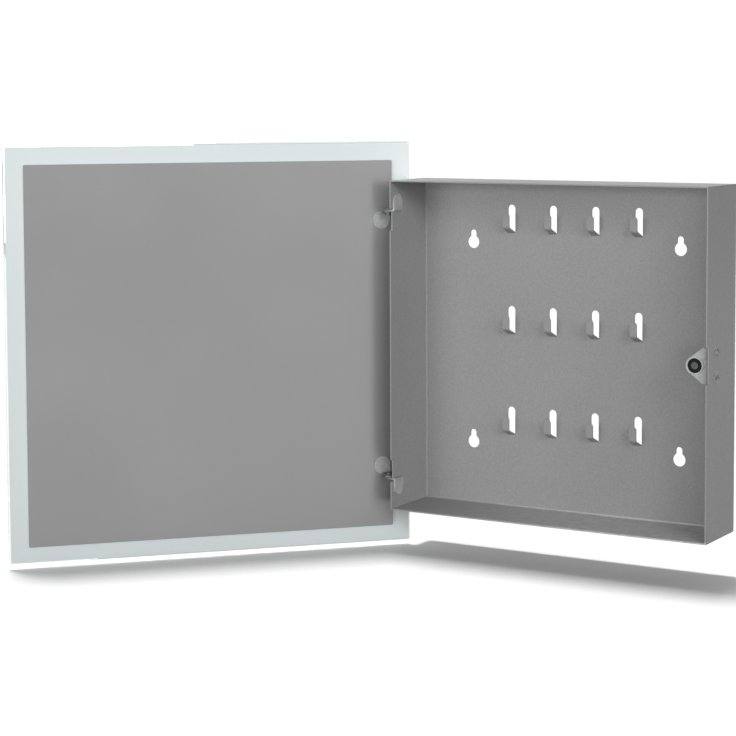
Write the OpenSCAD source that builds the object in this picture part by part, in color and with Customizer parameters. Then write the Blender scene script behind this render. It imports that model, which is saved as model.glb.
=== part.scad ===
// Wall key box: a folded steel tray with key hooks pressed out of its back,
// and a square glass door on two riveted hinges, held shut by a magnet.
// The back of the tray lies on the wall at y = 0 and the box opens towards -y.
// x = 0 and z = 0 are the middle of the tray. The door stands open at rest.

/* [Tray] */
// Width of the tray over its side walls
case_w = 248; // [200:1:320]
// Height of the tray over its top and bottom walls
case_h = 244; // [200:1:320]
// Depth of the tray from the wall to its front edges
case_d = 54; // [44:1:90]
// Thickness of the tray sheet
sheet_t = 1; // [0.8:0.1:1.5]
// Outer radius of the folds round the back
fold_r = 2.2; // [1.8:0.1:5]
// Width of the fine seam where two walls meet
seam_w = 0.3; // [0.2:0.05:0.6]
// Depth of that seam
seam_depth = 0.25; // [0.1:0.05:0.4]

/* [Hooks] */
// Number of hooks in a row
hook_columns = 4; // [1:1:5]
// Number of rows of hooks
hook_rows = 3; // [1:1:3]
// Distance from hook to hook along a row
hook_pitch_x = 33.8; // [20:0.1:40]
// Distance from row to row
hook_pitch_z = 75; // [40:1:80]
// Distance from the top of the tray down to the first row's slots
hook_drop = 18.6; // [14:0.1:40]
// Width of the slot that a hook leaves in the back
hook_slot_w = 6; // [4:0.1:10]
// Height of that slot
hook_slot_h = 21.2; // [18:0.1:30]
// Width of the cut beside the tongue
hook_cut = 0.3; // [0.1:0.05:0.8]
// How far a hook stands out from the back panel
hook_reach = 9.6; // [7:0.1:16]
// Height of a hook's tip over the foot of its slot
hook_rise = 15.3; // [10:0.1:17]
// Slope of a hook's foot over the horizontal
hook_slope = 22; // [0:1:40]
// Inner radius of a hook's bend at the panel
hook_root_r = 0.5; // [0.3:0.1:1.2]
// Inner radius of a hook's bend at its toe
hook_toe_r = 1.6; // [0.5:0.1:2.5]

/* [Wall fixing] */
// Distance between the keyholes across the tray
keyhole_pitch_x = 165; // [100:1:190]
// Distance between the keyholes up the tray
keyhole_pitch_z = 150; // [100:1:190]
// Diameter of a keyhole's round entry for the screw head
keyhole_d = 9.5; // [8:0.1:12]
// Width of a keyhole's slot for the screw shank
keyslot_w = 4.8; // [3.5:0.1:6]
// Distance from a keyhole's middle up to the middle of its slot's end
keyslot_rise = 6.8; // [5:0.1:10]

/* [Glass] */
// Width of the glass
glass_w = 300; // [260:1:400]
// Height of the glass
glass_h = 300; // [260:1:400]
// Thickness of the glass
glass_t = 4; // [3:0.5:6]
// Polished bevel round the glass
glass_bevel = 0.5; // [0.2:0.1:1]
// Radius of the glass corners
glass_corner_r = 1.5; // [0.5:0.1:6]
// Thickness of the colour film on the back of the glass
film_t = 0.1; // [0.05:0.05:0.3]
// Bare rim of glass left round the film
film_rim = 1; // [0.5:0.5:4]

/* [Back plate] */
// Bare width of the glass beside the steel plate, at each side
plate_margin_x = 14; // [5:0.5:25]
// Bare height of the glass over and under the plate
plate_margin_z = 13; // [5:0.5:25]
// Thickness of the steel plate
plate_t = 1; // [0.8:0.1:2]
// Radius of the plate's corners
plate_corner_r = 1; // [0.5:0.1:5]
// How far the plate sits below the middle of the glass
plate_drop = 0.8; // [0:0.1:3]
// Thickness of the bonding tape
tape_t = 0.4; // [0.2:0.1:1]
// Width of the bonding tape
tape_w = 15; // [8:1:25]
// Distance from the plate's edge to the tape
tape_inset = 4; // [2:0.5:10]
// Gap between the plate and the tray when the door is shut
door_gap = 1; // [0.8:0.1:2]
// Angle at which the door stands open at rest
door_open = 133; // [0:1:133]

/* [Hinges] */
// Distance from the tray's top, or bottom, to that hinge's running face
hinge_drop = 23.7; // [18:0.1:60]
// Distance of the hinge pins outside the left wall
hinge_out = 6.3; // [6:0.1:9]
// Distance of the hinge pins behind the tray's front edges
hinge_back = 9.2; // [8:0.1:10]
// Thickness of the hinge brackets
bracket_t = 1.2; // [1:0.1:1.4]
// Outer radius of the bends in the brackets
bracket_bend_r = 1.7; // [1.5:0.1:2.2]
// Width of the bracket flange inside the left wall
flange_w = 12; // [9:0.5:14]
// Height of that flange
flange_h = 12.7; // [11:0.1:16]
// Radius of the round end of its ear
case_ear_r = 4.4; // [3.5:0.1:5]
// Width of the bracket leaf on the door plate
leaf_w = 12.5; // [9:0.1:16]
// Height of that leaf
leaf_h = 13; // [11:0.1:18]
// Radius of the round end of its ear
door_ear_r = 3.6; // [3:0.1:4.2]
// Diameter of the hinge pin
pin_d = 3; // [2:0.1:4]
// Clearance round the pin in the door's ear
pin_clear = 0.06; // [0.03:0.01:0.1]
// Diameter of the pin's heads
pin_head_d = 5.4; // [4.6:0.1:7]
// Height of the pin's heads
pin_head_t = 1.1; // [0.6:0.1:2]
// Diameter of the washer between the ears
washer_d = 7; // [5.5:0.1:8]
// Thickness of that washer
washer_t = 0.6; // [0.3:0.1:1]
// End play of the door along the pin, above and below its ear
end_play = 0.1; // [0.05:0.05:0.3]
// Clearance between a bracket and the notch that it passes through
notch_clear = 0.4; // [0.2:0.1:1]
// Depth of the notch that takes the door's leaf
leaf_notch = 2.5; // [1:0.1:4]

/* [Magnet catch] */
// Distance of the magnet from the outer face of the right wall
magnet_in = 8.7; // [8:0.1:14]
// Height of the magnet over the middle of the tray
magnet_z = 0.6; // [-20:0.1:20]
// Diameter of the magnet
magnet_d = 5; // [4:0.5:7]
// Length of the magnet
magnet_len = 4.2; // [3:0.1:8]
// Diameter of the sleeve round the magnet
sleeve_d = 10.2; // [9:0.1:11]
// Thickness of the sleeve's closed end
sleeve_end = 0.8; // [0.5:0.1:2]
// Wall of the collar round the sleeve
collar_wall = 1.4; // [0.8:0.1:2]
// How far the collar stands out from the tongue
collar_h = 0.6; // [0.2:0.1:0.6]
// Width of the catch bracket at the wall
catch_w = 24.6; // [18:0.1:30]
// Width of the tongue's straight part beside the wall
catch_shoulder = 3.2; // [3:0.1:5]
// Depth of the bracket's flange behind the front edge
catch_flange = 22; // [18:1:30]
// Outer radius of the bend between its flange and its tongue
catch_bend_r = 3; // [1.5:0.1:3]

/* [Spot welds] */
// Diameter of a spot weld's mark
weld_d = 3.6; // [2:0.1:5]
// Depth of a spot weld's mark
weld_depth = 0.15; // [0.05:0.05:0.3]
// Distance between the catch's two welds
catch_weld_pitch = 18.8; // [10:0.1:22]
// Distance of the catch's welds behind the front edge
catch_weld_back = 15.7; // [10:0.1:20]

/* [Hidden] */
$fn = 48;
tiny = 0.01;

// Planes of the tray
front_y = -case_d;
left_x = -case_w / 2;
right_x = case_w / 2;
panel_y = -sheet_t;
left_inner_x = left_x + sheet_t;
right_inner_x = right_x - sheet_t;

// Planes of the shut door, from the tray outwards
plate_back_y = front_y - door_gap;
plate_front_y = plate_back_y - plate_t;
tape_front_y = plate_front_y - tape_t;
glass_back_y = tape_front_y - film_t;
glass_mid_y = glass_back_y - glass_t / 2;

// Hinge line and the stack on the pin, upwards in the upper hinge
axis_x = left_x - hinge_out;
axis_y = front_y + hinge_back;
hinge_z = case_h / 2 - hinge_drop;
washer_z = hinge_z + end_play;
case_ear_z = washer_z + washer_t;
door_ear_z = hinge_z - bracket_t;
pin_r = pin_d / 2;
flange_end_z = case_ear_z + flange_h;
leaf_x = axis_x - door_ear_r;

// Magnet catch
magnet_x = right_x - magnet_in;
sleeve_r = sleeve_d / 2;
collar_r = sleeve_r + collar_wall;
collar_y = front_y - collar_h;

// Hook tongue
tongue_w = hook_slot_w - 2 * hook_cut;
root_r = hook_root_r + sheet_t / 2;
toe_r = hook_toe_r + sheet_t / 2;

// Plate behind the glass, and the tape strips that bond it to the film
plate_w = glass_w - 2 * plate_margin_x;
plate_h = glass_h - 2 * plate_margin_z;
tape_x = plate_w / 2 - tape_inset;
tape_z = plate_h / 2 - tape_inset;

// ---------- outlines ----------

// Rectangle round the origin with round corners
module round_rect(w, h, r) {
  square([w - 2 * r, h], center = true);
  square([w, h - 2 * r], center = true);
  for (sx = [-1, 1], sy = [-1, 1])
    translate([sx * (w / 2 - r), sy * (h / 2 - r)])
      circle(r);
}

// Rectangle round the origin with its corners cut off
module bevelled_rect(w, h, c) {
  x = w / 2;
  y = h / 2;
  polygon([
    [-x, -y + c], [-x + c, -y], [x - c, -y], [x, -y + c],
    [x, y - c], [x - c, y], [-x + c, y], [-x, y - c]
  ]);
}

// Section of the tray: open at y = -d, its two folds at y = 0
module tray_outline(w, d, r) {
  translate([-w / 2, -d])
    square([w, d - r]);
  translate([-w / 2 + r, -d])
    square([w - 2 * r, d]);
  for (side = [-1, 1])
    translate([side * (w / 2 - r), -r])
      circle(r);
}

// Folded strip: its outer faces lie on both axes and its legs run along them
module bent_strip(leg_y, leg_x, t, r) {
  translate([0, r])
    square([t, leg_y - r]);
  translate([r, 0])
    square([leg_x - r, t]);
  intersection() {
    translate([r, r])
      difference() {
        circle(r);
        circle(r - t);
      }
    square(r);
  }
}

// Point where a line from [x, y] touches the circle of radius r round the origin
function tangent_point(x, y, r) =
  let (a = atan2(y, x) + sign(y) * acos(r / norm([x, y])))
  [r * cos(a), r * sin(a)];

// Tab that runs from a straight edge at x = base_x down to a round end at the origin
module tapered_tab(base_x, shoulder_x, half_w, r) {
  up = tangent_point(shoulder_x, half_w, r);
  down = tangent_point(shoulder_x, -half_w, r);
  polygon([
    [base_x, -half_w], [base_x, half_w], [shoulder_x, half_w],
    up, down, [shoulder_x, -half_w]
  ]);
  circle(r);
}

// ---------- tray ----------

module tray_solid(w, h, d, r) {
  intersection() {
    linear_extrude(h, center = true)
      tray_outline(w, d, r);
    rotate([0, -90, 0])
      linear_extrude(w, center = true)
        tray_outline(h, d, r);
  }
}

module folded_tray() {
  difference() {
    tray_solid(case_w, case_h, case_d, fold_r);
    translate([0, panel_y, 0])
      tray_solid(case_w - 2 * sheet_t, case_h - 2 * sheet_t, case_d, fold_r - sheet_t);
  }
}

// The seams where the side walls butt against the top and bottom walls
module wall_seams() {
  for (sx = [-1, 1], sz = [-1, 1])
    translate([
      sx * case_w / 2, (front_y - fold_r) / 2, sz * (case_h / 2 - sheet_t)
    ])
      cube([2 * seam_depth, case_d - fold_r, seam_w], center = true);
}

module keyhole() {
  rotate([90, 0, 0])
    cylinder(h = 4 * sheet_t, d = keyhole_d, center = true);
  translate([0, 0, keyslot_rise])
    rotate([90, 0, 0])
      cylinder(h = 4 * sheet_t, d = keyslot_w, center = true);
  translate([-keyslot_w / 2, -2 * sheet_t, 0])
    cube([keyslot_w, 4 * sheet_t, keyslot_rise]);
}

module keyholes() {
  for (sx = [-1, 1], sz = [-1, 1])
    translate([sx * keyhole_pitch_x / 2, 0, sz * keyhole_pitch_z / 2])
      keyhole();
}

// Puts its children at the foot of each hook's slot, on the panel's inner face
module each_hook() {
  for (column = [0 : hook_columns - 1], row = [0 : hook_rows - 1])
    translate([
      (column - (hook_columns - 1) / 2) * hook_pitch_x,
      panel_y,
      case_h / 2 - hook_drop - hook_slot_h - row * hook_pitch_z
    ])
      children();
}

module hook_slot() {
  straight = hook_slot_h - hook_slot_w / 2;
  translate([-hook_slot_w / 2, -sheet_t, 0])
    cube([hook_slot_w, 3 * sheet_t, straight]);
  translate([0, 0, straight])
    rotate([90, 0, 0])
      cylinder(h = 4 * sheet_t, d = hook_slot_w, center = true);
}

// Points of a bend round c, from angle a to angle b, at radius r
function bend(c, r, a, b, steps = 6) =
  [for (i = [0 : steps]) let (w = a + (b - a) * i / steps)
    [c[0] + r * cos(w), c[1] + r * sin(w)]];

// Section of the tongue: it leaves the sheet, slopes forward and turns up
module tongue_section() {
  half = sheet_t / 2;
  root = [root_r - half, 0];
  toe_x = hook_reach - toe_r - half;
  foot_x = root[0] - root_r * sin(hook_slope);
  foot_z = root_r * cos(hook_slope);
  run = (toe_x + toe_r * sin(hook_slope) - foot_x) / cos(hook_slope);
  toe = [
    toe_x,
    foot_z + run * sin(hook_slope) + toe_r * cos(hook_slope)
  ];
  from = 180;
  to = 90 + hook_slope;
  polygon(concat(
    [[-sheet_t, -sheet_t]],
    bend(root, root_r + half, from, to),
    bend(toe, toe_r - half, hook_slope - 90, 0),
    [[toe[0] + toe_r - half, hook_rise], [toe[0] + toe_r + half, hook_rise]],
    bend(toe, toe_r + half, 0, hook_slope - 90),
    bend(root, root_r - half, to, from),
    [[0, -sheet_t]]
  ));
}

module hook_tongue() {
  round_z = hook_rise - tongue_w / 2;
  intersection() {
    rotate([90, 0, -90])
      linear_extrude(tongue_w, center = true)
        tongue_section();
    union() {
      translate([-tongue_w / 2, -2 * hook_reach, -2 * sheet_t])
        cube([tongue_w, 3 * hook_reach, round_z + 2 * sheet_t]);
      translate([0, 0, round_z])
        rotate([90, 0, 0])
          cylinder(h = 4 * hook_reach, d = tongue_w, center = true);
    }
  }
}

// Notch for one hinge: the slot of the tray's ear and the recess of the door's leaf
module hinge_notch() {
  ear_low = case_ear_z - notch_clear;
  ear_high = case_ear_z + bracket_bend_r + notch_clear;
  leaf_low = hinge_z - leaf_h - notch_clear;
  translate([left_x - sheet_t, front_y - tiny, ear_low])
    cube([3 * sheet_t, hinge_back + flange_w / 2 + notch_clear, ear_high - ear_low]);
  translate([left_x - sheet_t, front_y - tiny, leaf_low])
    cube([3 * sheet_t, leaf_notch, ear_low - leaf_low + tiny]);
}

module catch_notch() {
  height = catch_w + 2 * notch_clear;
  translate([right_x - 2 * sheet_t, front_y - tiny, magnet_z - height / 2])
    cube([3 * sheet_t, catch_bend_r + notch_clear, height]);
}

// Mark that an electrode leaves on an upright face that looks along x
module weld_mark() {
  rotate([0, 90, 0])
    cylinder(h = 2 * weld_depth, d = weld_d, center = true);
}

module tray_welds() {
  for (side = [-1, 1]) {
    translate([
      right_x, front_y + catch_weld_back, magnet_z + side * catch_weld_pitch / 2
    ])
      weld_mark();
    translate([left_x, axis_y, side * (flange_end_z - flange_w / 2)])
      weld_mark();
  }
}

module case() {
  color("dimgray") {
    difference() {
      folded_tray();
      each_hook() hook_slot();
      keyholes();
      hinge_notch();
      mirror([0, 0, 1]) hinge_notch();
      catch_notch();
      wall_seams();
      tray_welds();
    }
    each_hook() hook_tongue();
  }
}

// ---------- magnet catch ----------

// Cylinder that points along y from y0 to y1 in line with the magnet
module at_magnet(r, y0, y1) {
  translate([magnet_x, y1, magnet_z])
    rotate([90, 0, 0])
      cylinder(h = y1 - y0, r = r);
}

module catch_bracket() {
  tongue_len = right_inner_x - magnet_x + collar_r;
  shoulder = magnet_in - catch_shoulder;
  color("silver")
    difference() {
      union() {
        intersection() {
          translate([right_inner_x, front_y, magnet_z - catch_w / 2])
            mirror([1, 0, 0])
              linear_extrude(catch_w)
                bent_strip(catch_flange, tongue_len, bracket_t, catch_bend_r);
          translate([magnet_x, front_y + catch_flange, magnet_z])
            rotate([90, 0, 0])
              linear_extrude(catch_flange)
                tapered_tab(magnet_in, shoulder, catch_w / 2, collar_r);
        }
        at_magnet(collar_r, collar_y, front_y + bracket_t);
      }
      at_magnet(sleeve_r, collar_y - 1, front_y + bracket_t + 1);
    }
}

module magnet_sleeve() {
  face_y = collar_y - 0.1;
  floor_y = face_y + magnet_len;
  color("black")
    difference() {
      at_magnet(sleeve_r, face_y, floor_y + sleeve_end);
      at_magnet(magnet_d / 2, face_y - 1, floor_y);
    }
}

module magnet() {
  face_y = collar_y - 0.1;
  color("gray")
    at_magnet(magnet_d / 2, face_y, face_y + magnet_len);
}

// ---------- hinges ----------

// Cylinder round the hinge line from z0 to z1
module on_axis(r, z0, z1) {
  translate([axis_x, axis_y, z0])
    cylinder(h = z1 - z0, r = r);
}

// The upper hinge is drawn and the lower one is its mirror image
module lower() {
  mirror([0, 0, 1]) children();
}

module case_bracket() {
  ear_len = left_inner_x + bracket_t - axis_x + case_ear_r;
  base_x = left_inner_x + bracket_t - axis_x;
  round_z = flange_end_z - flange_w / 2;
  inner_r = bracket_bend_r - bracket_t;
  color("silver")
    difference() {
      intersection() {
        translate([left_inner_x + bracket_t, axis_y + flange_w / 2, case_ear_z])
          mirror([1, 0, 0])
            rotate([90, 0, 0])
              linear_extrude(flange_w)
                bent_strip(flange_h, ear_len, bracket_t, bracket_bend_r);
        union() {
          translate([left_inner_x - inner_r, axis_y - flange_w / 2, case_ear_z])
            cube([inner_r + bracket_t, flange_w, round_z - case_ear_z]);
          translate([left_inner_x - inner_r, axis_y, round_z])
            rotate([0, 90, 0])
              cylinder(h = inner_r + bracket_t, d = flange_w);
          translate([axis_x, axis_y, case_ear_z])
            linear_extrude(bracket_t)
              tapered_tab(base_x, base_x - bracket_bend_r, flange_w / 2, case_ear_r);
        }
      }
      on_axis(pin_r, case_ear_z - 1, case_ear_z + bracket_t + 1);
      translate([left_inner_x + bracket_t, axis_y, round_z])
        weld_mark();
    }
}

module pin() {
  low_z = door_ear_z - end_play;
  high_z = case_ear_z + bracket_t;
  color("gainsboro") {
    on_axis(pin_r, low_z - pin_head_t, high_z + pin_head_t);
    on_axis(pin_head_d / 2, high_z, high_z + pin_head_t);
    on_axis(pin_head_d / 2, low_z - pin_head_t, low_z);
  }
}

module washer() {
  color("white")
    difference() {
      on_axis(washer_d / 2, washer_z, case_ear_z);
      on_axis(pin_r + pin_clear, washer_z - 1, case_ear_z + 1);
    }
}

module upper_case_bracket() case_bracket();
module lower_case_bracket() lower() case_bracket();
module upper_pin() pin();
module lower_pin() lower() pin();
module upper_washer() washer();
module lower_washer() lower() washer();

// ---------- door, drawn shut and swung open ----------

module swung_open() {
  translate([axis_x, axis_y, 0])
    rotate([0, 0, -door_open])
      translate([-axis_x, -axis_y, 0])
        children();
}

module glass() {
  color("lightcyan")
    swung_open()
      translate([0, glass_mid_y, 0])
        intersection() {
          linear_extrude(glass_h, center = true)
            bevelled_rect(glass_w, glass_t, glass_bevel);
          rotate([0, -90, 0])
            linear_extrude(glass_w, center = true)
              bevelled_rect(glass_h, glass_t, glass_bevel);
          rotate([90, 0, 0])
            linear_extrude(glass_t, center = true)
              round_rect(glass_w, glass_h, glass_corner_r);
        }
}

module colour_film() {
  color("aliceblue")
    swung_open()
      translate([0, tape_front_y, 0])
        rotate([90, 0, 0])
          linear_extrude(film_t)
            round_rect(glass_w - 2 * film_rim, glass_h - 2 * film_rim, glass_corner_r);
}

module back_plate() {
  color("darkgray")
    swung_open()
      translate([0, plate_back_y, -plate_drop])
        rotate([90, 0, 0])
          linear_extrude(plate_t)
            round_rect(plate_w, plate_h, plate_corner_r);
}

// Strip of tape between the film and the plate, placed from the plate's middle
module tape_strip(x0, x1, z0, z1) {
  color("whitesmoke")
    swung_open()
      translate([x0, tape_front_y, z0 - plate_drop])
        cube([x1 - x0, tape_t, z1 - z0]);
}

module tape_top() tape_strip(-tape_x, tape_x, tape_z - tape_w, tape_z);
module tape_bottom() tape_strip(-tape_x, tape_x, -tape_z, tape_w - tape_z);
module tape_hinge_side() tape_strip(-tape_x, tape_w - tape_x, tape_w - tape_z, tape_z - tape_w);
module tape_free_side() tape_strip(tape_x - tape_w, tape_x, tape_w - tape_z, tape_z - tape_w);

// Outline of the door's leaf under its bend: a round end below and a round far corner
module leaf_outline() {
  straight = leaf_h - leaf_w / 2;
  corner = min(leaf_w - 2 * door_ear_r, 0.9 * straight);
  translate([leaf_w / 2, -straight])
    circle(d = leaf_w);
  translate([0, -straight])
    square([leaf_w - corner, straight]);
  translate([0, -straight])
    square([leaf_w, straight - corner]);
  translate([leaf_w - corner, -corner])
    circle(corner);
}

module door_bracket() {
  reach = axis_y - plate_back_y;
  round_z = hinge_z - leaf_h + leaf_w / 2;
  leaf_mid = leaf_x + leaf_w / 2;
  color("silver")
    difference() {
      intersection() {
        translate([leaf_x + leaf_w, plate_back_y, hinge_z])
          rotate([-90, 0, 90])
            linear_extrude(leaf_w)
              bent_strip(leaf_h, reach + door_ear_r, bracket_t, bracket_bend_r);
        union() {
          translate([leaf_x, plate_back_y + bracket_bend_r, hinge_z])
            rotate([90, 0, 0])
              linear_extrude(bracket_bend_r)
                leaf_outline();
          translate([leaf_x, plate_back_y, door_ear_z])
            cube([2 * door_ear_r, reach, bracket_t]);
          on_axis(door_ear_r, door_ear_z, hinge_z);
        }
      }
      on_axis(pin_r + pin_clear, door_ear_z - 1, hinge_z + 1);
      translate([leaf_mid, plate_back_y + bracket_t, round_z])
        rotate([90, 0, 0])
          cylinder(h = 2 * weld_depth, d = weld_d, center = true);
    }
}

module upper_door_bracket() swung_open() door_bracket();
module lower_door_bracket() lower() swung_open() door_bracket();

case();
catch_bracket();
magnet_sleeve();
magnet();
upper_case_bracket();
lower_case_bracket();
upper_washer();
lower_washer();
upper_pin();
lower_pin();
glass();
colour_film();
back_plate();
tape_top();
tape_bottom();
tape_hinge_side();
tape_free_side();
upper_door_bracket();
lower_door_bracket();
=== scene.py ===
import math
from collections import namedtuple

import bmesh
import bpy
from mathutils import Matrix, Vector


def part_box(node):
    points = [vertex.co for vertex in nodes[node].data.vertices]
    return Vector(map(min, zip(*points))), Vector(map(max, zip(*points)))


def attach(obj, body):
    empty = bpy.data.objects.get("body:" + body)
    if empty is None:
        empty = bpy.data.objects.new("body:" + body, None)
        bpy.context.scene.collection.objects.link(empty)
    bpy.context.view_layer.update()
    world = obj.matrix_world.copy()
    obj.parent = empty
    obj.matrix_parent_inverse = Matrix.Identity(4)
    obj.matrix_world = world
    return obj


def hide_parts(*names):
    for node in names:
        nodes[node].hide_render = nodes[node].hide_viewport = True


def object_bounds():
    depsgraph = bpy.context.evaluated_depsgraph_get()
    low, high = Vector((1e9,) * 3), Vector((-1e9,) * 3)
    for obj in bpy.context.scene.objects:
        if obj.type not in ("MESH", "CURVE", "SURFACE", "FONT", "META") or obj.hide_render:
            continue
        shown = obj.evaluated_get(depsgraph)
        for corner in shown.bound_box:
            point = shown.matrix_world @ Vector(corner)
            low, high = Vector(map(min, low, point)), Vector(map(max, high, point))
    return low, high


# Looks of a wall key box: a powder-coated steel tray and a glass door that stands open.
# Lengths are in metres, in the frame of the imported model.

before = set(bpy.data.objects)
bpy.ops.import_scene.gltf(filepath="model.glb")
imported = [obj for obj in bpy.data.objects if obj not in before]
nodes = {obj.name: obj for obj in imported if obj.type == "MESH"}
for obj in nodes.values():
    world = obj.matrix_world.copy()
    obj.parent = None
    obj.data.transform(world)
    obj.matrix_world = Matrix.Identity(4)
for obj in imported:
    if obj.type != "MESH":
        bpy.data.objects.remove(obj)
cad_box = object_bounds()

MM = 0.001

# ---------- the photograph's camera ----------

FRAME_PX = 736
FOCAL_PX = 2097.8
OPTICAL_AXIS_PX = 250  # height of the lens axis in the frame, from its top
SENSOR_WIDTH = 36.0
CAMERA_AT = Vector((0.6496, -1.3800, 0.1857))
CAMERA_YAW = math.radians(30.852)
CAMERA_PITCH = math.radians(4.274)
CAMERA_ROLL = math.radians(-0.251)
CAMERA_REACH = 100.0  # farthest distance that it sees

# ---------- sizes on the part ----------

SHEET = 1 * MM  # thickness of the tray's walls
CATCH_WELD_BACK = 18.5 * MM  # from the catch's face to its welds
CATCH_WELD_PITCH = 17.6 * MM
CATCH_WELD_DROP = 0.9 * MM  # from the catch's middle down to the middle of its welds
HINGE_WELD_IN = 6 * MM  # from the end of a hinge's flange to its weld
FILM_GAP = 0.03 * MM  # between the glass and the colour film

# ---------- sizes of the marks ----------

WELD_BURN = 6 * MM  # radius of the scorched paint round a weld
PIVOT_SHADE_RADIUS = 11 * MM  # radius of the painted shade round a hinge pin
CATCH_HIGHLIGHT_RADIUS = 9 * MM  # radius of the painted highlight round the magnet
CATCH_SHADE_WIDTH = 7 * MM  # width of the painted shade on the catch, beside the wall
FLOOR_LIGHT_DEPTH = 1.5 * MM  # how far over the tray's floor a face can lie and still get the painted light
FLOOR_LIGHT_REACH = 260 * MM  # how far the painted light on the tray's floor reaches from the right wall
MARK_CORE = 0.25  # share of a mark's radius inside which it has its full strength

# ---------- noise ----------

EVEN = (1, 1, 1)  # stretch of a noise or a distance that is the same along every axis
NOISE_SPAN = (0.25, 0.75)  # a noise rarely leaves this range
NOISE_EDGES = (0.3, 0.7)  # the noise levels at which a mottle reaches its two colours

# ---------- studio ----------

FLOOR_GAP = 4 * MM  # clear air between the glass and the floor
FLOOR_RADIUS = 3.0
FLOOR_SIDES = 96
FLOOR_BOUNCE = 0.05  # share of its light that the floor throws on to its surroundings
WORLD_SEEN = 1.05  # brightness of the surroundings in the picture
WORLD_THROUGH_GLASS = 0.63  # their brightness through the clear rim of the glass
WORLD_LIT = 0.17  # the light that they give
SUNS = (  # name, strength, spread, azimuth and elevation, the last three in degrees
    ("overhead_light", 2.5, 11, -120, 82),
    ("front_left_light", 0.46, 20, -20, 1),
    ("front_light", 0.66, 20, -5, 1),
    ("front_right_light", 0.62, 20, 26, 1),
    ("key_light", 0.63, 20, 45, 20),
    ("side_light", 0.42, 20, 65, 12),
    ("back_left_light", 0.5, 60, -110, 20),
    ("back_right_light", 0.25, 60, 160, 30),
    ("rear_left_light", 1.0, 10, -140, 1),
    ("rear_light", 0.5, 10, -170, 1),
)


def make_camera():
    """Puts the camera where the photographer stood."""
    data = bpy.data.cameras.new("photo_camera")
    data.sensor_width = SENSOR_WIDTH
    data.lens = FOCAL_PX / FRAME_PX * SENSOR_WIDTH
    data.shift_y = (OPTICAL_AXIS_PX - FRAME_PX / 2) / FRAME_PX
    data.clip_end = CAMERA_REACH
    camera = bpy.data.objects.new("photo_camera", data)
    level = math.cos(CAMERA_PITCH)
    ahead = Vector(
        (-math.sin(CAMERA_YAW) * level, math.cos(CAMERA_YAW) * level, -math.sin(CAMERA_PITCH))
    )
    right = Vector((math.cos(CAMERA_YAW), math.sin(CAMERA_YAW), 0))
    axes = Matrix((right, right.cross(ahead), -ahead)).transposed()
    roll = Matrix.Rotation(CAMERA_ROLL, 4, "Z")
    camera.matrix_world = Matrix.Translation(CAMERA_AT) @ axes.to_4x4() @ roll
    bpy.context.scene.collection.objects.link(camera)
    bpy.context.scene.camera = camera


# ---------- node helpers ----------


def new_material(name, roughness, metallic=0.0, shine=0.5):
    """A material with its tree and its shader."""
    material = bpy.data.materials.new(name)
    material.use_nodes = True
    shader = material.node_tree.nodes["Principled BSDF"]
    shader.inputs["Roughness"].default_value = roughness
    shader.inputs["Metallic"].default_value = metallic
    shader.inputs["Specular IOR Level"].default_value = shine
    return material, material.node_tree, shader


def grey(level, warmth=0.0):
    """A near-grey colour; warmth lifts red and lowers blue."""
    return (level * (1 + warmth), level, level * (1 - warmth))


def noise(tree, grain, detail=2.0, stretch=EVEN):
    """Noise whose spots are about `grain` metres across, in the object's own frame."""
    place = tree.nodes.new("ShaderNodeTexCoord")
    scale = tree.nodes.new("ShaderNodeMapping")
    scale.inputs["Scale"].default_value = stretch
    texture = tree.nodes.new("ShaderNodeTexNoise")
    texture.inputs["Scale"].default_value = 1 / grain
    texture.inputs["Detail"].default_value = detail
    tree.links.new(place.outputs["Object"], scale.inputs["Vector"])
    tree.links.new(scale.outputs["Vector"], texture.inputs["Vector"])
    return texture.outputs["Fac"]


def mottle(tree, grain, low, high, detail=2.0, stretch=EVEN, edges=NOISE_EDGES):
    """A colour that wanders between `low` and `high` in spots of about `grain` metres."""
    node = tree.nodes.new("ShaderNodeValToRGB")
    for end, position, colour in zip(node.color_ramp.elements, edges, (low, high)):
        end.position = position
        end.color = (*colour, 1)
    tree.links.new(noise(tree, grain, detail, stretch), node.inputs["Fac"])
    return node.outputs["Color"]


def remap(tree, value, low, high):
    """Turns a value from the span of a noise into low..high."""
    node = tree.nodes.new("ShaderNodeMapRange")
    node.inputs["From Min"].default_value = NOISE_SPAN[0]
    node.inputs["From Max"].default_value = NOISE_SPAN[1]
    node.inputs["To Min"].default_value = low
    node.inputs["To Max"].default_value = high
    tree.links.new(value, node.inputs["Value"])
    return node.outputs["Result"]


def arithmetic(tree, operation, a, b):
    """One operation on two values."""
    node = tree.nodes.new("ShaderNodeMath")
    node.operation = operation
    tree.links.new(a, node.inputs[0])
    tree.links.new(b, node.inputs[1])
    return node.outputs["Value"]


def multiply(tree, colour, shade, share=None):
    """The colour times the shade, everywhere or in step with `share`."""
    node = tree.nodes.new("ShaderNodeMix")
    node.data_type = "RGBA"
    node.blend_type = "MULTIPLY"
    node.inputs["Factor"].default_value = 1.0
    if share is not None:
        tree.links.new(share, node.inputs["Factor"])
    tree.links.new(colour, node.inputs["A"])
    tree.links.new(shade, node.inputs["B"])
    return node.outputs["Result"]


def finish(tree, shader, colour, grain, low, high):
    """Gives the shader its colour and a roughness that wanders between `low` and `high`."""
    tree.links.new(colour, shader.inputs["Base Color"])
    tree.links.new(remap(tree, noise(tree, grain), low, high), shader.inputs["Roughness"])


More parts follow.
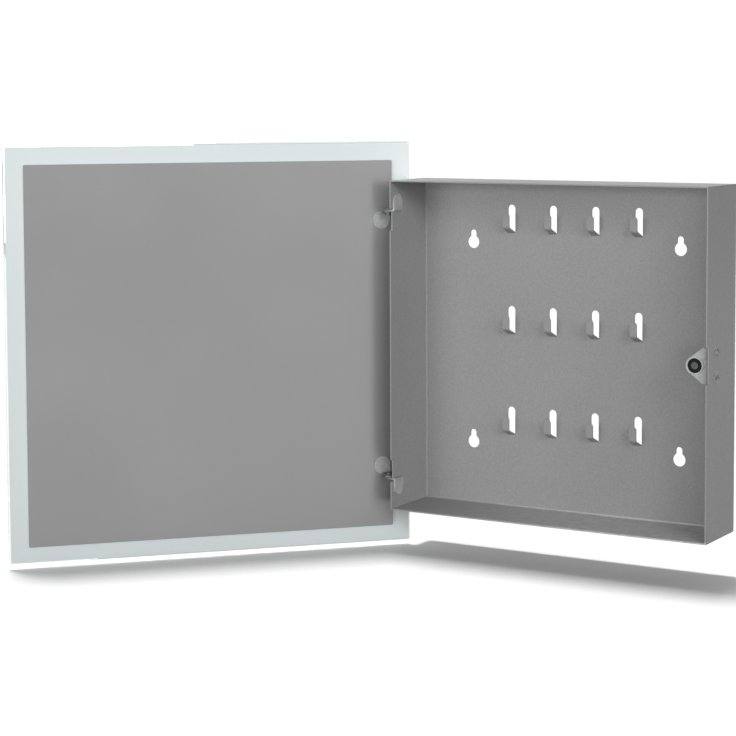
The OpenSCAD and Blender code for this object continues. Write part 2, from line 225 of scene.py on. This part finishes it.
def emboss(tree, shader, grain, height, detail=2.0, stretch=EVEN):
    """Raises the surface by up to `height` metres, on top of any bump that it already has."""
    node = tree.nodes.new("ShaderNodeBump")
    node.inputs["Strength"].default_value = 1.0
    node.inputs["Distance"].default_value = height
    tree.links.new(noise(tree, grain, detail, stretch), node.inputs["Height"])
    if shader.inputs["Normal"].is_linked:
        tree.links.new(shader.inputs["Normal"].links[0].from_socket, node.inputs["Normal"])
    tree.links.new(node.outputs["Normal"], shader.inputs["Normal"])


# ---------- marks ----------

# A kind of mark on a colour, a real stain or painted light or shade: its places, how far it
# reaches from them, the spots of its noise and the two greys that multiply the colour. `stretch`
# weighs the axes of the distance, and an lying mark shows only on faces that look up or to the front.
Mark = namedtuple(
    "Mark",
    "places radius grain shades detail stretch edges lying",
    defaults=(3.0, EVEN, NOISE_EDGES, False),
)


def closeness(tree, places, radius, stretch):
    """1 beside any of the places, fading to 0 at `radius`."""
    place = tree.nodes.new("ShaderNodeTexCoord")
    scaled = tree.nodes.new("ShaderNodeVectorMath")
    scaled.operation = "MULTIPLY"
    scaled.inputs[1].default_value = stretch
    tree.links.new(place.outputs["Object"], scaled.inputs[0])
    nearest = None
    for spot in places:
        distance = tree.nodes.new("ShaderNodeVectorMath")
        distance.operation = "DISTANCE"
        distance.inputs[1].default_value = Vector(spot) * Vector(stretch)
        tree.links.new(scaled.outputs["Vector"], distance.inputs[0])
        found = distance.outputs["Value"]
        nearest = found if nearest is None else arithmetic(tree, "MINIMUM", nearest, found)
    fade = tree.nodes.new("ShaderNodeMapRange")
    fade.interpolation_type = "SMOOTHSTEP"
    fade.inputs["From Min"].default_value = MARK_CORE * radius
    fade.inputs["From Max"].default_value = radius
    fade.inputs["To Min"].default_value = 1.0
    fade.inputs["To Max"].default_value = 0.0
    tree.links.new(nearest, fade.inputs["Value"])
    return fade.outputs["Result"]


def facing_up_or_front(tree):
    """1 on faces that look up or to the front in the object's own frame, 0 on all others."""
    place = tree.nodes.new("ShaderNodeTexCoord")
    facing = tree.nodes.new("ShaderNodeVectorMath")
    facing.operation = "DOT_PRODUCT"
    facing.inputs[1].default_value = (0, -1, 1)
    tree.links.new(place.outputs["Normal"], facing.inputs[0])
    return remap(tree, facing.outputs["Value"], 0.0, 1.0)


def marked(tree, colour, marks):
    """The colour with its marks on it."""
    for mark in marks:
        share = closeness(tree, mark.places, mark.radius, mark.stretch)
        if mark.lying:
            share = arithmetic(tree, "MULTIPLY", share, facing_up_or_front(tree))
        dark, light = mark.shades
        shade = mottle(tree, mark.grain, grey(dark), grey(light), mark.detail, edges=mark.edges)
        colour = multiply(tree, colour, shade, share)
    return colour


def middle_of(name):
    """Middle of a CAD node's box."""
    low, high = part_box(name)
    return (low + high) / 2


def catch_welds():
    """Places of the two spot welds on the outside of the right wall."""
    low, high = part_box("catch_bracket")
    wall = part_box("case")[1].x
    middle = (low.z + high.z) / 2 - CATCH_WELD_DROP
    return [(wall, low.y + CATCH_WELD_BACK, middle + side * CATCH_WELD_PITCH / 2) for side in (-1, 1)]


def hinge_welds():
    """Places of the spot welds on the outside of the left wall, one for each hinge."""
    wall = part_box("case")[0].x
    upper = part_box("upper_case_bracket")[1].z - HINGE_WELD_IN
    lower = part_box("lower_case_bracket")[0].z + HINGE_WELD_IN
    return [
        (wall, middle_of("upper_case_bracket").y, upper),
        (wall, middle_of("lower_case_bracket").y, lower),
    ]


def weld_scorch():
    """Scorched paint round the spot welds."""
    places = catch_welds() + hinge_welds()
    return Mark(
        places, WELD_BURN, grain=1.6 * MM, shades=(0.42, 1.35), stretch=(1, 0.65, 1), edges=(0.40, 0.62)
    )


def floor_painted_light():
    """Painted light on the tray's floor: brightest at its right end, only on faces that look up or to
    the front.
    """
    low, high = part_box("case")
    places = [(high.x, 0, low.z + SHEET)]
    stretch = (FLOOR_LIGHT_DEPTH / FLOOR_LIGHT_REACH, 0, 1)
    # painted light: the floor's colour is made 1.65 to 2 times as bright, most near the right wall
    return Mark(
        places, FLOOR_LIGHT_DEPTH, grain=6 * MM, shades=(1.65, 2.05), detail=4.0, stretch=stretch, lying=True
    )


def pivot_painted_shade():
    """Painted shade round the two hinge pins, where the ears sit in shadow."""
    places = [middle_of("upper_pin"), middle_of("lower_pin")]
    # painted shade: the zinc round each pin is darkened to a tenth to a third
    return Mark(places, PIVOT_SHADE_RADIUS, grain=2 * MM, shades=(0.10, 0.30))


def catch_painted_highlight():
    """Painted highlight: the plating up to a third brighter round the magnet and its collar."""
    # painted highlight: the plating is made 1.1 to 1.3 times as bright round the magnet
    return Mark([middle_of("magnet")], CATCH_HIGHLIGHT_RADIUS, grain=1.5 * MM, shades=(1.1, 1.3))


def catch_painted_shade():
    """Painted shade on the catch, darker towards the wall."""
    places = [(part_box("case")[1].x, 0, 0)]
    # painted shade: the plating is darkened to 0.6 to 0.75 near the wall
    return Mark(places, CATCH_SHADE_WIDTH, grain=1.5 * MM, shades=(0.60, 0.75), stretch=(1, 0, 0))


# ---------- materials ----------


def powder_coat(name, level, grain, relief, spread, gloss, flake, shine, marks=()):
    """Satin grey powder coat: fine-grained, a little uneven from the gun, with soft orange peel."""
    material, tree, shader = new_material(name, gloss, metallic=flake, shine=shine)
    speckle = mottle(tree, grain, low=grey(1 - spread), high=grey(1.0), detail=3.0)
    drift = mottle(
        tree, grain=90 * MM, low=grey(level * 0.97), high=grey(level * 1.03), detail=1.0
    )
    colour = marked(tree, multiply(tree, drift, speckle), marks)
    finish(tree, shader, colour, grain=14 * MM, low=gloss - 0.01, high=gloss + 0.01)
    emboss(tree, shader, grain=4 * MM, height=0.01 * MM, detail=1.0)
    emboss(tree, shader, grain=grain, height=relief)
    return material


def tray_paint():
    """Dull, coarse coat of the tray, with scorched welds and painted light on its floor."""
    return powder_coat(
        "tray_paint", level=0.422, grain=1.3 * MM, relief=0.09 * MM, spread=0.16,
        gloss=0.5, flake=0.0, shine=0.2, marks=(weld_scorch(), floor_painted_light()),
    )


def plate_paint():
    """Smoother, glossier coat of the door's plate."""
    return powder_coat(
        "plate_paint", level=0.345, grain=0.8 * MM, relief=0.008 * MM, spread=0.03,
        gloss=0.29, flake=0.28, shine=0.5,
    )


def zinc_plate(name, level, *marks):
    """Dull zinc plating: faint crystal blotches and fine rolling lines."""
    material, tree, shader = new_material(name, roughness=0.5, metallic=0.25)
    low = grey(level * 0.9, warmth=-0.01)
    high = grey(level * 1.1, warmth=-0.005)
    colour = marked(tree, mottle(tree, grain=2.5 * MM, low=low, high=high, detail=3.0), marks)
    finish(tree, shader, colour, grain=1.2 * MM, low=0.44, high=0.58)
    emboss(tree, shader, grain=0.5 * MM, height=0.008 * MM, stretch=(1, 1, 6))
    return material


def pin_steel():
    """Dark steel, its darkness painted shade of the shadowed pivot: fine turning rings round the pin.
    """
    material, tree, shader = new_material("pin_steel", roughness=0.5, metallic=0.7)
    # painted shade: the steel is kept near black, because the pivot lies in shadow
    rings = mottle(
        tree, grain=1 * MM, low=(0.10, 0.10, 0.105), high=(0.17, 0.17, 0.175), stretch=(1, 1, 8)
    )
    finish(tree, shader, rings, grain=0.8 * MM, low=0.44, high=0.58)
    emboss(tree, shader, grain=0.4 * MM, height=0.006 * MM, detail=1.0, stretch=(1, 1, 8))
    return material


def magnet_metal():
    """Dark ferrite magnet, its face scuffed by the door plate."""
    material, tree, shader = new_material("magnet_metal", roughness=0.55, metallic=0.3)
    scuffs = mottle(
        tree, grain=0.9 * MM, low=(0.06, 0.06, 0.063), high=(0.13, 0.13, 0.135),
        detail=4.0, stretch=(1, 5, 1),
    )
    finish(tree, shader, scuffs, grain=0.7 * MM, low=0.48, high=0.66)
    emboss(tree, shader, grain=0.3 * MM, height=0.005 * MM)
    return material


def plastic(name, low, high, roughness, grain, shine=0.5):
    """Moulded plastic with a fine spark-eroded grain."""
    material, tree, shader = new_material(name, roughness, shine=shine)
    tone = mottle(tree, grain=3 * MM, low=low, high=high)
    finish(tree, shader, tone, grain=grain * 2, low=roughness - 0.06, high=roughness + 0.08)
    emboss(tree, shader, grain=grain, height=0.01 * MM)
    return material


def black_plastic():
    """Near-black plastic of the magnet's sleeve."""
    return plastic(
        "black_plastic", low=(0.007, 0.007, 0.008), high=(0.014, 0.014, 0.015),
        roughness=0.6, grain=0.4 * MM, shine=0.12,
    )


def white_plastic():
    """Dull white plastic of the washers."""
    return plastic(
        "white_plastic", low=(0.40, 0.40, 0.39), high=(0.52, 0.52, 0.50),
        roughness=0.5, grain=0.4 * MM,
    )


def tape_foam():
    """White foam of the bonding tape."""
    return plastic(
        "tape_foam", low=(0.78, 0.78, 0.76), high=(0.86, 0.86, 0.84),
        roughness=0.8, grain=0.3 * MM,
    )


def clear_glass():
    """Float glass: clear, faintly green, with a very slight ripple."""
    material, tree, shader = new_material("clear_glass", roughness=0.0)
    shader.inputs["Transmission Weight"].default_value = 1.0
    shader.inputs["IOR"].default_value = 1.52
    tint = mottle(
        tree, grain=120 * MM, low=(0.90, 0.965, 0.945), high=(0.915, 0.975, 0.955), detail=1.0
    )
    tree.links.new(tint, shader.inputs["Base Color"])
    emboss(tree, shader, grain=60 * MM, height=0.01 * MM, detail=1.0)
    return material


def film_colour():
    """Pale colour film: satin on its back, with a faint cloudiness of the printed layer."""
    material, tree, shader = new_material("film_colour", roughness=0.38)
    cloud = mottle(tree, grain=70 * MM, low=(0.89, 0.965, 0.975), high=(0.91, 0.98, 0.99))
    dots = mottle(tree, grain=1.1 * MM, low=grey(0.985), high=grey(1.0), detail=3.0)
    finish(tree, shader, multiply(tree, cloud, dots), grain=9 * MM, low=0.32, high=0.44)
    emboss(tree, shader, grain=1.4 * MM, height=0.006 * MM)
    return material


def floor_paper():
    """White studio paper, which throws little of its light on to its surroundings."""
    material, tree, shader = new_material("floor_paper", roughness=0.85, shine=0.1)
    fibre = mottle(tree, grain=4 * MM, low=grey(0.93), high=grey(0.95), detail=3.0)
    path = tree.nodes.new("ShaderNodeLightPath")
    share = tree.nodes.new("ShaderNodeMix")
    share.data_type = "RGBA"
    share.inputs["A"].default_value = (*grey(1.0), 1)
    share.inputs["B"].default_value = (*grey(FLOOR_BOUNCE), 1)
    tree.links.new(path.outputs["Is Diffuse Ray"], share.inputs["Factor"])
    tree.links.new(multiply(tree, fibre, share.outputs["Result"]), shader.inputs["Base Color"])
    emboss(tree, shader, grain=2 * MM, height=0.02 * MM)
    return material


# ---------- pieces ----------


def dress(material, *names):
    """Gives the named CAD nodes this material."""
    for name in names:
        slots = nodes[name].material_slots
        if not slots:
            nodes[name].data.materials.append(material)
        for slot in slots:
            slot.material = material


def dress_everything():
    """Gives every CAD node that shows its material."""
    dress(tray_paint(), "case")
    dress(plate_paint(), "back_plate")
    # One zinc plating in three copies whose levels are painted light and shade: the case brackets, in
    # the wall's shadow, are lit up most and the catch is darkest.
    dress(zinc_plate("catch_zinc", 0.42, catch_painted_highlight(), catch_painted_shade()), "catch_bracket")
    dress(zinc_plate("case_zinc", 0.60, pivot_painted_shade()), "upper_case_bracket", "lower_case_bracket")
    dress(zinc_plate("door_zinc", 0.47, pivot_painted_shade()), "upper_door_bracket", "lower_door_bracket")
    dress(pin_steel(), "upper_pin", "lower_pin")
    dress(magnet_metal(), "magnet")
    dress(black_plastic(), "magnet_sleeve")
    dress(white_plastic(), "upper_washer", "lower_washer")
    dress(tape_foam(), "tape_top", "tape_bottom", "tape_hinge_side", "tape_free_side")
    dress(clear_glass(), "glass")


def film_layer():
    """The colour film, its front moved a hair off the glass.

    In one plane, the two faces would show through each other as black triangles.
    """
    middle = middle_of("colour_film")
    away = (middle - middle_of("glass")).normalized()
    shape = bmesh.new()
    shape.from_mesh(nodes["colour_film"].data)
    for corner in shape.verts:
        if (corner.co - middle).dot(away) < 0:
            corner.co += away * FILM_GAP
    mesh = bpy.data.meshes.new("film_layer")
    shape.to_mesh(mesh)
    shape.free()
    mesh.materials.clear()
    mesh.materials.append(film_colour())
    piece = bpy.data.objects.new("film_layer", mesh)
    bpy.context.scene.collection.objects.link(piece)
    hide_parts("colour_film")
    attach(piece, "door")


def make_floor():
    """Plain pale round floor just under the door."""
    middle = (cad_box[0] + cad_box[1]) / 2
    disc = bmesh.new()
    bmesh.ops.create_circle(disc, cap_ends=True, segments=FLOOR_SIDES, radius=FLOOR_RADIUS)
    bmesh.ops.translate(disc, verts=disc.verts, vec=(middle.x, middle.y, cad_box[0].z - FLOOR_GAP))
    mesh = bpy.data.meshes.new("floor")
    disc.to_mesh(mesh)
    disc.free()
    mesh.materials.append(floor_paper())
    floor = bpy.data.objects.new("floor", mesh)
    bpy.context.scene.collection.objects.link(floor)


# ---------- light ----------


def sun(name, strength, spread, azimuth, elevation):
    """Soft light from far away; azimuth 0 comes from the front (-y) and 90 from the right (+x)."""
    data = bpy.data.lights.new(name, "SUN")
    data.energy = strength
    data.angle = math.radians(spread)
    light = bpy.data.objects.new(name, data)
    turn = math.radians(azimuth)
    rise = math.radians(elevation)
    level = math.cos(rise)
    towards = Vector((math.sin(turn) * level, -math.cos(turn) * level, math.sin(rise)))
    light.rotation_mode = "QUATERNION"
    light.rotation_quaternion = towards.to_track_quat("Z", "Y")
    bpy.context.scene.collection.objects.link(light)


def make_world():
    """White surroundings, brighter in the picture than the light that they give."""
    world = bpy.data.worlds.new("studio")
    world.use_nodes = True
    tree = world.node_tree
    background = tree.nodes["Background"]
    background.inputs["Color"].default_value = (*grey(1.0), 1)
    path = tree.nodes.new("ShaderNodeLightPath")
    through = tree.nodes.new("ShaderNodeMix")
    through.inputs["A"].default_value = WORLD_LIT
    through.inputs["B"].default_value = WORLD_THROUGH_GLASS
    choice = tree.nodes.new("ShaderNodeMix")
    choice.inputs["B"].default_value = WORLD_SEEN
    tree.links.new(path.outputs["Is Transmission Ray"], through.inputs["Factor"])
    tree.links.new(path.outputs["Is Camera Ray"], choice.inputs["Factor"])
    tree.links.new(through.outputs["Result"], choice.inputs["A"])
    tree.links.new(choice.outputs["Result"], background.inputs["Strength"])
    bpy.context.scene.world = world


def light_studio():
    """Surroundings, lights and the plain view transform of a product photo."""
    make_world()
    for values in SUNS:
        sun(*values)
    bpy.context.scene.view_settings.view_transform = "Standard"


make_camera()
dress_everything()
film_layer()
make_floor()
light_studio()
